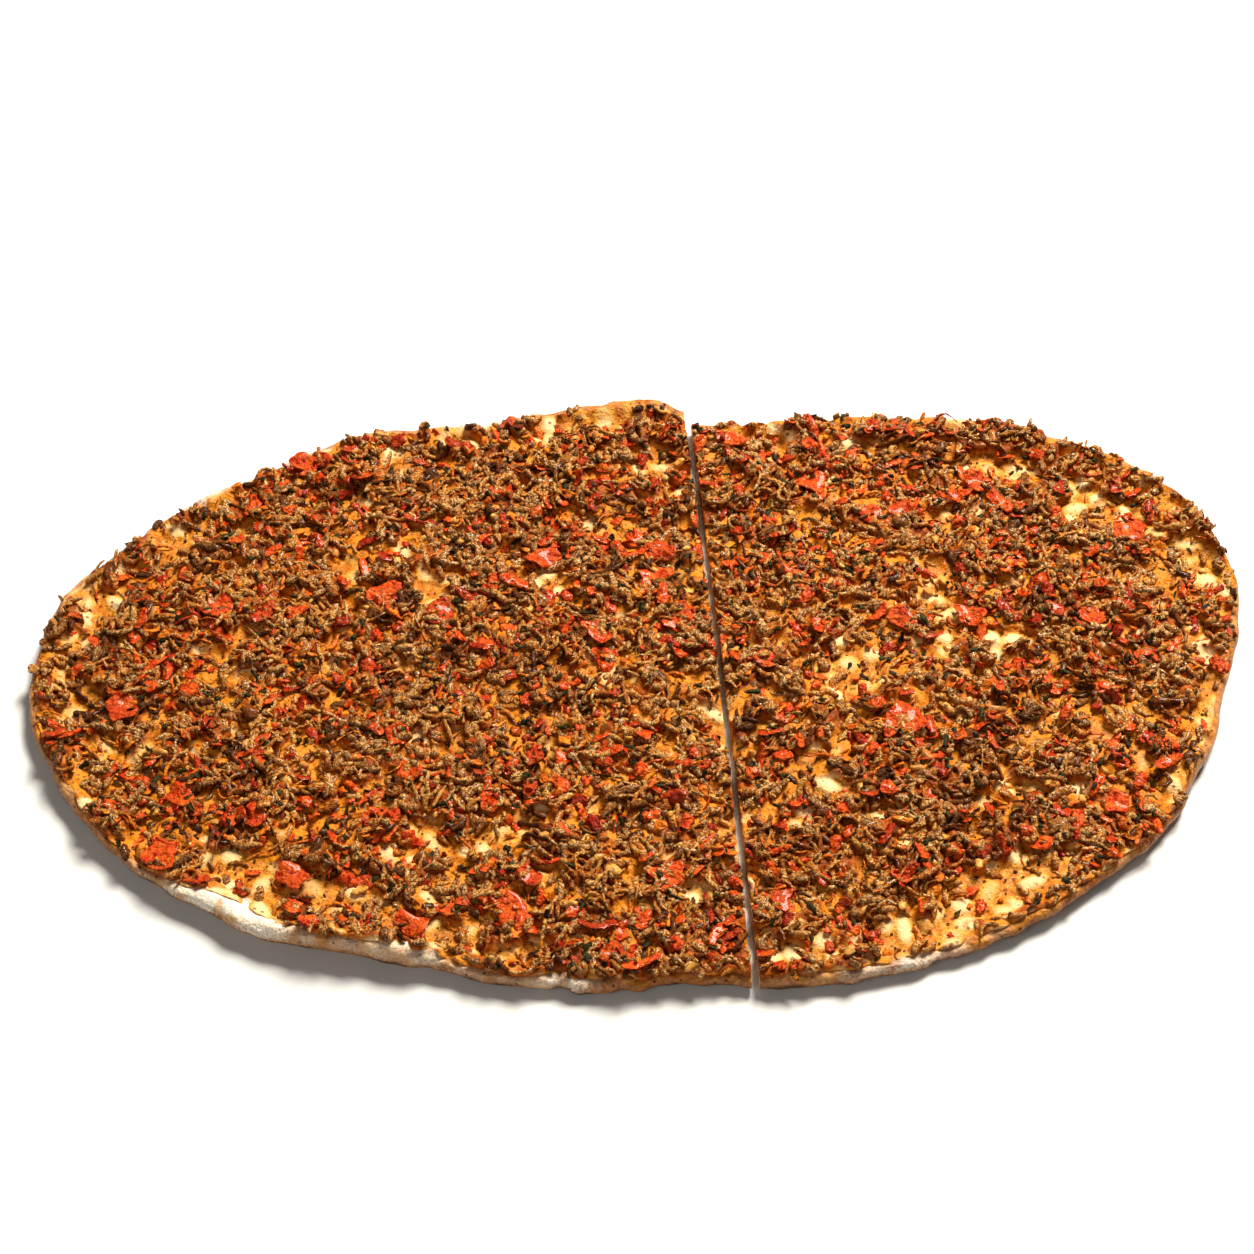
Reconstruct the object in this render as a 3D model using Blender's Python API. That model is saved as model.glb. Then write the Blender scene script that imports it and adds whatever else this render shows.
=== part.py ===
"""A large oval lahmacun: thin flatbread under a layer of minced meat, cut once across into two halves.

Each half is two solids, the bread and the meat on it, and the largest pieces of red pepper lie on top.
Frame: +X along the oval, +Y across it, +Z up; the origin is under the middle, on the surface it lies on.
"""
import math

import bmesh
import bpy
from mathutils import Matrix, Vector
from mathutils.bvhtree import BVHTree

MM = 0.001

# The oval that the dough is stretched to: half its length and width, and its exponent.
HALF_LENGTH = 183.0 * MM
HALF_WIDTH = 110.6 * MM
SQUARENESS = 2.21
OVAL_CENTRE = (-1.2 * MM, 0)

# Broad lobes left by stretching: (how many round the rim, height, bearing of the first crest).
LOBES = (
    (1, 3.1 * MM, 5.7),
    (2, 4.9 * MM, 30.2),
    (3, 4.3 * MM, 32.3),
    (4, 4.8 * MM, 26.4),
    (5, 3.3 * MM, 28.6),
    (6, 1.1 * MM, 22.1),
    (7, 1.0 * MM, 25.0),
    (8, 0.5 * MM, -4.7),
    (9, 1.3 * MM, 17.3),
)

# Swells along the rim: (bearing in degrees, half angle, size). Each adds to the base value before it.
BARE_MARGIN = 4.2 * MM
MARGIN_SWELLS = (
    (232, 22, 6.5 * MM),
    (262, 16, 3.5 * MM),
    (305, 18, 4.5 * MM),
    (2, 16, 4.0 * MM),
    (148, 20, 3.0 * MM),
)
RIM_THICKNESS = 4.0 * MM
RIM_SWELLS = (
    (231, 17, 2.4 * MM),
    (262, 10, 1.6 * MM),
    (292, 12, 1.4 * MM),
    (150, 16, 0.9 * MM),
    (350, 14, 0.8 * MM),
)
RIM_LIFT = 0.8 * MM
LIFT_SWELLS = ((222, 20, 2.4 * MM), (185, 16, 1.2 * MM), (330, 22, 1.3 * MM), (20, 18, 0.8 * MM))

# The back corner of the left half was baked as a tongue that stands up beside the cut.
TONGUE_BEARING = 86
TONGUE_HALF_ANGLE = 9
TONGUE_LENGTH = 4.8 * MM
TONGUE_LIFT = 3.0 * MM
TONGUE_MARGIN = 5.0 * MM

DOUGH_THICKNESS = 2.8 * MM
LIFT_WIDTH = 26 * MM
RIM_CREST = 3.6 * MM
RIM_SLOPE = 4.2 * MM
DOUGH_WAVES = ((0.30 * MM, 61 * MM, 25, 0.4), (0.22 * MM, 47 * MM, 118, 2.1))

MEAT_THICKNESS = 2.1 * MM
MEAT_EDGE = 0.8 * MM
MEAT_TAPER = 9 * MM
MEAT_WAVES = ((0.28 * MM, 37 * MM, 68, 0.7), (0.24 * MM, 29 * MM, 153, 1.9), (0.18 * MM, 23 * MM, 12, 0.2))
RAGGED = ((1.3 * MM, 11, 0.8), (0.9 * MM, 17, 2.3))
GAP = 0.35 * MM

# The cut of the wheel: where it crosses the middle, its slant and bow, and the kerf that it leaves.
CUT_MIDDLE = 23.5 * MM
CUT_SLANT = -0.0735
CUT_BOW = 0.9 * MM
CUT_REACH = 110 * MM
KERF = 1.1 * MM
KERF_FLARE = 0.7 * MM

SEGMENTS = 96
INNER_SHARES = (0.20, 0.38, 0.54, 0.68, 0.80, 0.91, 1.0)
MARGIN_SHARES = (0.34, 0.68, 0.93)
UNDERSIDE_SHARES = (0.30, 0.60, 0.85)
LIP_LEVELS = (0.72, 0.28)
LIP_TURN = 0.8
BLOCK_BENDS = 13
BLOCK_LENGTH = 286 * MM
BLOCK_REACH = 256 * MM
BLOCK_HEIGHT = 40 * MM

# Red pepper, the pieces as large as berries: (x, y, length, width) in mm, and turn in degrees.
PEPPERS = (
    (-111, 82, 11, 8, 126), (-96, 86, 9, 6, 97), (-80, 29, 12, 7, 15), (-131, 22, 11, 7, 87),
    (-103, 31, 9, 6, 72), (-62, 20, 12, 8, 65), (-138, -69, 11, 10, 20), (-37, -86, 12, 9, 83),
    (-113, -53, 11, 8, 54), (-135, -46, 10, 8, 31), (-101, -75, 11, 7, 129), (-84, -3, 11, 5, 99),
    (-73, -26, 9, 6, 79), (-69, -39, 8, 7, 90), (-31, 44, 12, 8, 25), (-14, 12, 10, 7, 99),
    (4, 35, 12, 7, 4), (5, 46, 11, 7, 170), (7, -74, 11, 7, 17), (11, 19, 11, 8, 23),
    (-66, -91, 11, 6, 149), (-157, -16, 12, 8, 87), (30, 93, 11, 5, 150), (55, 76, 11, 9, 10),
    (74, 60, 12, 6, 128), (83, 64, 9, 7, 160), (78, -20, 13, 9, 118), (80, 18, 11, 6, 128),
    (92, -50, 12, 7, 84), (112, -63, 12, 5, 150), (74, -74, 9, 7, 28), (39, -83, 11, 5, 78),
    (138, -50, 9, 7, 33), (139, 18, 10, 6, 90), (109, 75, 9, 7, 59), (121, 62, 8, 6, 48),
    (155, 54, 11, 7, 163), (101, 20, 10, 7, 140),
)
PEPPER_THICKNESS = 1.5 * MM
PEPPER_CURL = 0.9 * MM
PEPPER_BEVEL = 0.45 * MM
PEPPER_DIVISIONS = 2
PEPPER_TAPER = 0.22
PEPPER_SKEW = 0.16

DOUGH_COLOUR = (0.72, 0.42, 0.14)
MEAT_COLOUR = (0.23, 0.09, 0.025)
PEPPER_COLOUR = (0.55, 0.035, 0.012)


def swells(bearing, base, bumps):
    """The base value with each bump's bell curve added at its bearing, in degrees."""
    total = base
    for centre, half_angle, size in bumps:
        away = (math.degrees(bearing) - centre + 180) % 360 - 180
        total += size * math.exp(-((away / half_angle) ** 2))
    return total


def waves(x, y, ripples):
    """A sum of plane waves: (height, wavelength, heading in degrees, phase)."""
    total = 0
    for height, length, heading, phase in ripples:
        along = x * math.cos(math.radians(heading)) + y * math.sin(math.radians(heading))
        total += height * math.sin(math.tau * along / length + phase)
    return total


def tongue(bearing, side):
    """1 at the raised back corner of the left half, falling to 0 round it and on the other half."""
    if side == "right":
        return 0
    return swells(bearing, 0, ((TONGUE_BEARING, TONGUE_HALF_ANGLE, 1),))


def rim_radius(bearing, side):
    """A superellipse with the stretched lobes on it."""
    along = abs(math.cos(bearing) / HALF_LENGTH) ** SQUARENESS
    across = abs(math.sin(bearing) / HALF_WIDTH) ** SQUARENESS
    radius = (along + across) ** (-1 / SQUARENESS)
    for count, height, crest in LOBES:
        radius += height * math.cos(count * (bearing - math.radians(crest)))
    return radius + TONGUE_LENGTH * tongue(bearing, side)


def meat_radius(bearing, side):
    """Where the meat stops: the rim, less a bare margin and a ragged edge."""
    margin = swells(bearing, BARE_MARGIN, MARGIN_SWELLS) + TONGUE_MARGIN * tongue(bearing, side)
    ragged = sum(depth * math.sin(count * bearing + phase) for depth, count, phase in RAGGED)
    return rim_radius(bearing, side) - margin + ragged


def underside(inset, bearing, side):
    """Flat, and lifting off the surface towards the rim."""
    lift = swells(bearing, RIM_LIFT, LIFT_SWELLS) + TONGUE_LIFT * tongue(bearing, side)
    return lift * max(0, 1 - inset / LIFT_WIDTH) ** 2


def dough_top(x, y, inset, bearing, side):
    """The underside plus the thickness, which swells to a rounded lip near the rim."""
    swell = swells(bearing, RIM_THICKNESS, RIM_SWELLS) - DOUGH_THICKNESS
    lip = swell * math.exp(-(((inset - RIM_CREST) / RIM_SLOPE) ** 2))
    return underside(inset, bearing, side) + DOUGH_THICKNESS + lip + waves(x, y, DOUGH_WAVES)


def meat_thickness(x, y, inset):
    """A lumpy layer that thins towards its edge."""
    full = MEAT_THICKNESS + waves(x, y, MEAT_WAVES)
    share = min(1, inset / MEAT_TAPER)
    return MEAT_EDGE + (full - MEAT_EDGE) * math.sin(share * math.pi / 2)


def reach_of(code, bearing, side):
    """A ring's radius. Codes 0 to 1 run from the middle to the meat's edge, and 1 to 2 on to the rim."""
    edge = meat_radius(bearing, side)
    if code <= 1:
        return code * edge
    return edge + (code - 1) * (rim_radius(bearing, side) - edge)


def place_dough(code, bearing, level, side):
    """Level 0 is the underside and 1 the top."""
    radius = reach_of(code, bearing, side)
    x, y = radius * math.cos(bearing), radius * math.sin(bearing)
    inset = rim_radius(bearing, side) - radius
    low = underside(inset, bearing, side)
    high = dough_top(x, y, inset, bearing, side)
    return Vector((x, y, low + level * (high - low)))


def place_meat(code, bearing, level, side):
    """Level 0 lies just over the dough and 1 is the top of the meat."""
    radius = reach_of(code, bearing, side)
    x, y = radius * math.cos(bearing), radius * math.sin(bearing)
    base = dough_top(x, y, rim_radius(bearing, side) - radius, bearing, side) + GAP
    return Vector((x, y, base + level * meat_thickness(x, y, meat_radius(bearing, side) - radius)))


def spun_layer(name, profile, place, side):
    """Spins a (code, level) profile round Z, then pulls each point to the layer's own outline and height."""
    bm = bmesh.new()
    points = [bm.verts.new((code, 0, level)) for code, level in profile]
    edges = [bm.edges.new(pair) for pair in zip(points, points[1:])]
    bmesh.ops.spin(
        bm,
        geom=points + edges,
        cent=(0, 0, 0),
        axis=(0, 0, 1),
        angle=math.tau,
        steps=SEGMENTS,
        use_merge=True,
    )
    bmesh.ops.remove_doubles(bm, verts=bm.verts, dist=1e-5)
    for vert in bm.verts:
        code = math.hypot(vert.co.x, vert.co.y)
        bearing = math.atan2(vert.co.y, vert.co.x)
        vert.co = place(code, bearing, vert.co.z, side)
        vert.co.x += OVAL_CENTRE[0]
        vert.co.y += OVAL_CENTRE[1]
    bmesh.ops.recalc_face_normals(bm, faces=bm.faces)
    bmesh.ops.triangulate(bm, faces=bm.faces, quad_method="FIXED")
    mesh = bpy.data.meshes.new(name)
    bm.to_mesh(mesh)
    bm.free()
    return bpy.data.objects.new(name, mesh)


def half_block(side):
    """A block that holds one half, with its inner face bent along the cut."""
    sign = -1 if side == "left" else 1
    bm = bmesh.new()
    bmesh.ops.create_cube(bm, size=1)
    long_edges = [e for e in bm.edges if abs(e.verts[0].co.y - e.verts[1].co.y) > 0.5]
    bmesh.ops.subdivide_edges(bm, edges=long_edges, cuts=BLOCK_BENDS)
    for vert in bm.verts:
        y = vert.co.y * BLOCK_LENGTH
        bend = CUT_MIDDLE + CUT_SLANT * y - CUT_BOW * (y / CUT_REACH) ** 2
        kerf = KERF + KERF_FLARE * (y / CUT_REACH) ** 2
        inner = bend + sign * kerf / 2
        outer = sign * BLOCK_REACH
        vert.co.x = inner if sign * vert.co.x < 0 else outer
        vert.co.y = y
        vert.co.z *= BLOCK_HEIGHT
    bmesh.ops.recalc_face_normals(bm, faces=bm.faces)
    mesh = bpy.data.meshes.new(f"cutter_{side}")
    bm.to_mesh(mesh)
    bm.free()
    block = bpy.data.objects.new(f"cutter_{side}", mesh)
    block.hide_render = True
    block.display_type = "WIRE"
    return block


def plain_material(name, colour, roughness):
    """A Principled BSDF of one colour."""
    material = bpy.data.materials.new(name)
    material.use_nodes = True
    shader = material.node_tree.nodes["Principled BSDF"]
    shader.inputs["Base Color"].default_value = (*colour, 1)
    shader.inputs["Roughness"].default_value = roughness
    shader.inputs["Metallic"].default_value = 0
    return material


def make_layers(collection, cutters):
    """Both halves of the bread and of the meat. Returns the meat, by side."""
    baked = plain_material("baked_dough", DOUGH_COLOUR, 0.6)
    cooked = plain_material("cooked_meat", MEAT_COLOUR, 0.45)
    dough_profile = [(0, 1)] + [(s, 1) for s in INNER_SHARES] + [(1 + s, 1) for s in MARGIN_SHARES]
    dough_profile += [(2, level) for level in LIP_LEVELS] + [(1 + LIP_TURN, 0)]
    dough_profile += [(s, 0) for s in reversed(UNDERSIDE_SHARES)] + [(0, 0)]
    meat_profile = [(0, 1)] + [(s, 1) for s in INNER_SHARES]
    meat_profile += [(s, 0) for s in reversed(INNER_SHARES)] + [(0, 0)]
    meats = {}
    for side in ("left", "right"):
        block = half_block(side)
        cutters.objects.link(block)
        for kind, profile, place, material in (
            ("dough", dough_profile, place_dough, baked),
            ("meat", meat_profile, place_meat, cooked),
        ):
            layer = spun_layer(f"{kind}_{side}", profile, place, side)
            layer.data.materials.append(material)
            collection.objects.link(layer)
            cut = layer.modifiers.new("half", "BOOLEAN")
            cut.operation = "INTERSECT"
            cut.object = block
            if kind == "meat":
                meats[side] = layer
    return meats


def pepper_flake(name, length, width, turn):
    """A diced flake: a bevelled slab, narrower at one end, whose ends curl up."""
    bm = bmesh.new()
    bmesh.ops.create_cube(bm, size=1)
    bmesh.ops.scale(bm, verts=bm.verts, vec=(length, width, PEPPER_THICKNESS))
    bmesh.ops.bevel(bm, geom=bm.edges[:], offset=PEPPER_BEVEL, segments=1, affect="EDGES")
    long_edges = [e for e in bm.edges if abs(e.verts[0].co.x - e.verts[1].co.x) > length / 2]
    bmesh.ops.subdivide_edges(bm, edges=long_edges, cuts=PEPPER_DIVISIONS, use_grid_fill=True)
    for vert in bm.verts:
        along = 2 * vert.co.x / length
        vert.co.y *= 1 - PEPPER_TAPER * along
        vert.co.x += PEPPER_SKEW * vert.co.y
        vert.co.z += PEPPER_CURL * along * along
    bmesh.ops.rotate(bm, verts=bm.verts, matrix=Matrix.Rotation(math.radians(turn), 3, "Z"))
    bmesh.ops.recalc_face_normals(bm, faces=bm.faces)
    mesh = bpy.data.meshes.new(name)
    bm.to_mesh(mesh)
    bm.free()
    return bpy.data.objects.new(name, mesh)


def top_under(flake, place, surfaces):
    """The highest point of the meat under a flake that is centred at this place."""
    highest = 0
    down = Vector((0, 0, -1))
    for vert in flake.data.vertices:
        for share in (0, 0.5, 1):
            start = Vector((place.x + vert.co.x * share, place.y + vert.co.y * share, 1))
            for surface in surfaces:
                hit = surface.ray_cast(start, down)[0]
                if hit:
                    highest = max(highest, hit.z)
    return highest


def make_peppers(collection, meats):
    """Each flake lies just clear of the highest meat under it."""
    skin = plain_material("red_pepper", PEPPER_COLOUR, 0.35)
    bpy.context.view_layer.update()
    graph = bpy.context.evaluated_depsgraph_get()
    surfaces = [BVHTree.FromObject(meat, graph) for meat in meats.values()]
    for number, (x, y, length, width, turn) in enumerate(PEPPERS, 1):
        flake = pepper_flake(f"pepper_{number:02d}", length * MM, width * MM, turn)
        flake.data.materials.append(skin)
        place = Vector((x * MM, y * MM, 0))
        rest = top_under(flake, place, surfaces)
        flake.location = place + Vector((0, 0, rest + GAP + PEPPER_THICKNESS / 2))
        collection.objects.link(flake)


def main():
    for old in list(bpy.data.objects):
        bpy.data.objects.remove(old)
    collection = bpy.data.collections.new("lahmacun")
    cutters = bpy.data.collections.new("cutters")
    bpy.context.scene.collection.children.link(collection)
    bpy.context.scene.collection.children.link(cutters)
    meats = make_layers(collection, cutters)
    make_peppers(collection, meats)


main()
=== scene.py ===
import math

import bpy
import numpy as np
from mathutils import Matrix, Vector


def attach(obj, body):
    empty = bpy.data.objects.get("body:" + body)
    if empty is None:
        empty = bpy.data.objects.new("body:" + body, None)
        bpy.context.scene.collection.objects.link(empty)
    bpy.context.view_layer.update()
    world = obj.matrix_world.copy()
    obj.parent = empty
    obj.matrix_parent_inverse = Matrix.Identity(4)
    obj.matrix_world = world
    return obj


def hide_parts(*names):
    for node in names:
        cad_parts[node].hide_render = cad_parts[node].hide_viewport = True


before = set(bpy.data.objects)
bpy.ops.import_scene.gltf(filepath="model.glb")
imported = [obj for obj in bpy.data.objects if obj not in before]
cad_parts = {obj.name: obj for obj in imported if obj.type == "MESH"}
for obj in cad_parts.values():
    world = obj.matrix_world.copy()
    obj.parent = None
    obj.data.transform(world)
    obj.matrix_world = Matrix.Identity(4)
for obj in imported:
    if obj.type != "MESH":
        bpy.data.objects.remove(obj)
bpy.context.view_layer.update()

# ----------------------------------------------------------------------------------------------------
# The bread: a thin wheat flatbread, rolled and stretched by hand to a long oval and baked on hot stone.
# A wheel has cut it once across, and its two halves lie as they were cut. The rim has puffed most at
# the front left, where flour shows, with a painted highlight on its upper face; oil from the meat has
# soaked the rest. Sizes are in mm.

MM = 0.001
HALF_LENGTH = 183.0
HALF_WIDTH = 110.6
SQUARENESS = 2.21
CENTRE_X = -1.2
# how many lobes round the rim, how high they are, and the bearing of a crest in degrees
LOBES = (
    (1, 3.1, 5.7),
    (2, 4.9, 30.2),
    (3, 4.3, 32.3),
    (4, 4.8, 26.4),
    (5, 3.3, 28.6),
    (6, 1.1, 22.1),
    (7, 1.0, 25.0),
    (8, 0.5, -4.7),
    (9, 1.3, 17.3),
)
WOBBLE_CIRCLE = 150
BROAD_WOBBLE, FINE_WOBBLE, WOBBLE_DROP = 1.0, 0.7, 0.3
BARE_MARGIN, LEAST_MARGIN = 1.3, 0.9
BROAD_RAGGED, FINE_RAGGED = 2.0, 1.3
# every swell on the rim: its bearing and half angle in degrees, and how much it adds
MARGIN_SWELLS = (
    (217, 5.5, 13.0),
    (236, 5, 3.5),
    (259, 4, 4.0),
    (304, 8, 3.0),
    (2, 12, 1.0),
    (150, 14, 3.0),
    (115, 5, 3.0),
)
RIM_THICKNESS = 4.0
RIM_SWELLS = ((225, 12, 2.2), (250, 14, 0.9), (292, 12, 0.9), (150, 16, 0.6), (350, 14, 0.4))
RIM_LIFT = 0.8
LIFT_SWELLS = ((222, 20, 2.4), (185, 16, 1.2), (330, 22, 1.3), (20, 18, 0.8))
TONGUE = (88, 12, 1.0)
TONGUE_LENGTH, TONGUE_LIFT, TONGUE_MARGIN = 4.8, 3.0, 5.0
DOUGH_THICKNESS = 2.8
LIFT_WIDTH = 26.0
RIM_CREST, RIM_SLOPE = 3.6, 4.2
BROAD_PUFF, FINE_PUFF = 0.9, 0.55
# height, length, heading in degrees, and phase of each wave
DOUGH_WAVES = ((0.30, 61, 25, 0.4), (0.22, 47, 118, 2.1))
CUT_MIDDLE, CUT_SLANT, CUT_BOW, CUT_REACH = 23.5, -0.0735, 0.9, 110.0
KERF, KERF_FLARE, KERF_CRUMBLED = 1.1, 0.7, 0.2


def dice(i, j, seed):
    """A repeatable number from 0 to 1 for each pair of whole numbers, whose bits are multiplied by
    large numbers and folded on themselves."""
    i, j = (np.asarray(k).astype(np.int64).astype(np.uint64) for k in (i, j))
    low = np.uint64(0xFFFFFFFF)
    h = (i * np.uint64(374761393) + j * np.uint64(668265263) + np.uint64(seed * 974634777)) & low
    h = ((h ^ (h >> np.uint64(13))) * np.uint64(1274126177)) & low
    h = ((h ^ (h >> np.uint64(16))) * np.uint64(2246822519)) & low
    return ((h ^ (h >> np.uint64(15))) & low).astype(float) / 0xFFFFFFFF


def drift(x, y, size, seed):
    """Soft random hills of about one size, from -1 to 1: lattice numbers joined by a quintic blend."""
    turn = 0.7 * seed
    u = (x * math.cos(turn) + y * math.sin(turn)) / size
    v = (y * math.cos(turn) - x * math.sin(turn)) / size
    i, j = np.floor(u), np.floor(v)
    fu, fv = (f * f * f * (f * (f * 6 - 15) + 10) for f in (u - i, v - j))
    near = dice(i, j, seed) * (1 - fu) + dice(i + 1, j, seed) * fu
    far = dice(i, j + 1, seed) * (1 - fu) + dice(i + 1, j + 1, seed) * fu
    return 2 * (near * (1 - fv) + far * fv) - 1


def domes(x, y, cell, length, width, seed):
    """One dome a cell of a square lattice, each an ellipse of its own size and turn. The height of the
    highest one over each point is sqrt(1 - along^2 - across^2) times its own share, and its number
    comes with it."""
    best, name = np.zeros_like(x), np.zeros_like(x)
    home_i, home_j = np.floor(x / cell), np.floor(y / cell)
    for step_i in (-1, 0, 1):
        for step_j in (-1, 0, 1):
            i, j = home_i + step_i, home_j + step_j
            dx = x - (i + 0.1 + 0.8 * dice(i, j, seed)) * cell
            dy = y - (j + 0.1 + 0.8 * dice(i, j, seed + 1)) * cell
            turn = math.pi * dice(i, j, seed + 2)
            own = dice(i, j, seed + 3)
            along = (dx * np.cos(turn) + dy * np.sin(turn)) / (length / 2 * (0.7 + 0.6 * own))
            across = (dy * np.cos(turn) - dx * np.sin(turn)) / (width / 2 * (1.2 - 0.4 * own))
            share = 0.55 + 0.45 * dice(i, j, seed + 4)
            height = np.sqrt(np.maximum(0, 1 - along**2 - across**2)) * share
            higher = height > best
            best = np.where(higher, height, best)
            name = np.where(higher, dice(i, j, seed + 5), name)
    return best, name


def ease(low, high, value):
    """0 below low, 1 above high, and a smooth step between."""
    t = np.clip((value - low) / (high - low), 0, 1)
    return t * t * (3 - 2 * t)


def swells(bearing, base, bumps):
    """The base value, with a bell curve added at each bump's bearing in degrees."""
    total = base + 0 * bearing
    for centre, half_angle, size in bumps:
        away = (np.degrees(bearing) - centre + 180) % 360 - 180
        total = total + size * np.exp(-((away / half_angle) ** 2))
    return total


def rim_reach(bearing, left):
    """How far the rim is from the middle: a superellipse, plus a cosine for each lobe, two drifts for a
    wobble, and a bell for the tongue on the left half."""
    along = np.abs(np.cos(bearing) / HALF_LENGTH) ** SQUARENESS
    across = np.abs(np.sin(bearing) / HALF_WIDTH) ** SQUARENESS
    reach = (along + across) ** (-1 / SQUARENESS)
    for count, height, crest in LOBES:
        reach = reach + height * np.cos(count * (bearing - math.radians(crest)))
    x, y = WOBBLE_CIRCLE * np.cos(bearing), WOBBLE_CIRCLE * np.sin(bearing)
    reach = reach + BROAD_WOBBLE * drift(x, y, 13, 3) + FINE_WOBBLE * drift(x, y, 5.5, 4) - WOBBLE_DROP
    return reach + left * TONGUE_LENGTH * swells(bearing, 0, (TONGUE,))


def polar(x, y, left):
    """Bearing from the middle, and how far inside the rim a point lies."""
    bearing = np.arctan2(y, x - CENTRE_X)
    return bearing, rim_reach(bearing, left) - np.hypot(x - CENTRE_X, y)


def underside(inset, bearing, left):
    """Flat, and lifting off the surface towards the rim by a squared slope."""
    lift = swells(bearing, RIM_LIFT, LIFT_SWELLS)
    lift = lift + left * TONGUE_LIFT * swells(bearing, 0, (TONGUE,))
    return lift * np.maximum(0, 1 - inset / LIFT_WIDTH) ** 2


def dough_top(x, y, inset, bearing, left):
    """The underside plus the thickness, a rounded swell near the rim, and two slow waves."""
    swell = swells(bearing, RIM_THICKNESS, RIM_SWELLS) - DOUGH_THICKNESS
    swell = swell + BROAD_PUFF * drift(x, y, 13, 5) + FINE_PUFF * drift(x, y, 5.5, 6)
    top = underside(inset, bearing, left) + DOUGH_THICKNESS
    top = top + swell * np.exp(-(((inset - RIM_CREST) / RIM_SLOPE) ** 2))
    for height, length, heading, phase in DOUGH_WAVES:
        along = x * math.cos(math.radians(heading)) + y * math.sin(math.radians(heading))
        top = top + height * np.sin(math.tau * along / length + phase)
    return top


def meat_edge(bearing, left):
    """How far inside the rim the meat stops: a margin that swells in places, with a ragged line."""
    margin = swells(bearing, BARE_MARGIN, MARGIN_SWELLS)
    margin = margin + left * TONGUE_MARGIN * swells(bearing, 0, (TONGUE,))
    x, y = WOBBLE_CIRCLE * np.cos(bearing), WOBBLE_CIRCLE * np.sin(bearing)
    margin = margin + BROAD_RAGGED * drift(x, y, 11, 7) + FINE_RAGGED * drift(x, y, 4.5, 8)
    return np.maximum(margin, LEAST_MARGIN)


def cut_line(y):
    """Where the wheel ran: a slanting line, bowed by a square."""
    return CUT_MIDDLE + CUT_SLANT * y - CUT_BOW * (y / CUT_REACH) ** 2


def half_kerf(y):
    """Half the gap at the cut: half the wheel's track, which opens by a square towards both ends, and
    the little that has crumbled off each side."""
    return (KERF + KERF_FLARE * (y / CUT_REACH) ** 2) / 2 + KERF_CRUMBLED


def quads(rows, columns, start=0):
    """Two triangles for each cell of a grid whose points run row by row."""
    a = start + (np.arange(rows - 1)[:, None] * columns + np.arange(columns - 1)).ravel()
    b, c, d = a + 1, a + columns + 1, a + columns
    return np.concatenate([np.stack([a, b, c], 1), np.stack([a, c, d], 1)])


def welded(points, faces):
    """Points that share a place become one, and faces that lose a corner go."""
    _, first, index = np.unique(np.round(points, 4), axis=0, return_index=True, return_inverse=True)
    faces = index.ravel()[faces]
    whole = (faces[:, 0] != faces[:, 1]) & (faces[:, 1] != faces[:, 2]) & (faces[:, 0] != faces[:, 2])
    return first, faces[whole]


def make_piece(name, points, faces, traits, material, nodes=()):
    """A mesh from arrays in mm, its faces turned outwards by the sign of its volume, one number a point
    for each trait, and its material. It rides on the body and stands for the nodes named."""
    corners = points[faces]
    volume = np.einsum("ij,ij->i", corners[:, 0], np.cross(corners[:, 1], corners[:, 2])).sum()
    if volume < 0:
        faces = faces[:, ::-1]
    mesh = bpy.data.meshes.new(name)
    mesh.vertices.add(len(points))
    mesh.vertices.foreach_set("co", (points * MM).astype(np.float32).ravel())
    mesh.loops.add(faces.size)
    mesh.loops.foreach_set("vertex_index", faces.astype(np.int32).ravel())
    mesh.polygons.add(len(faces))
    mesh.polygons.foreach_set("loop_start", np.arange(0, faces.size, 3, dtype=np.int32))
    mesh.polygons.foreach_set("use_smooth", np.ones(len(faces), bool))
    mesh.update(calc_edges=True)
    mesh.validate()
    for trait, values in traits.items():
        layer = mesh.attributes.new(trait, "FLOAT", "POINT")
        layer.data.foreach_set("value", np.asarray(values, np.float32).ravel())
    mesh.materials.append(material)
    piece = bpy.data.objects.new(name, mesh)
    bpy.context.scene.collection.objects.link(piece)
    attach(piece, "root")
    if nodes:
        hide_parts(*nodes)
    return piece


SHINE = 0.20
SHINE_TINT = (1.0, 0.82, 0.60, 1)


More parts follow.
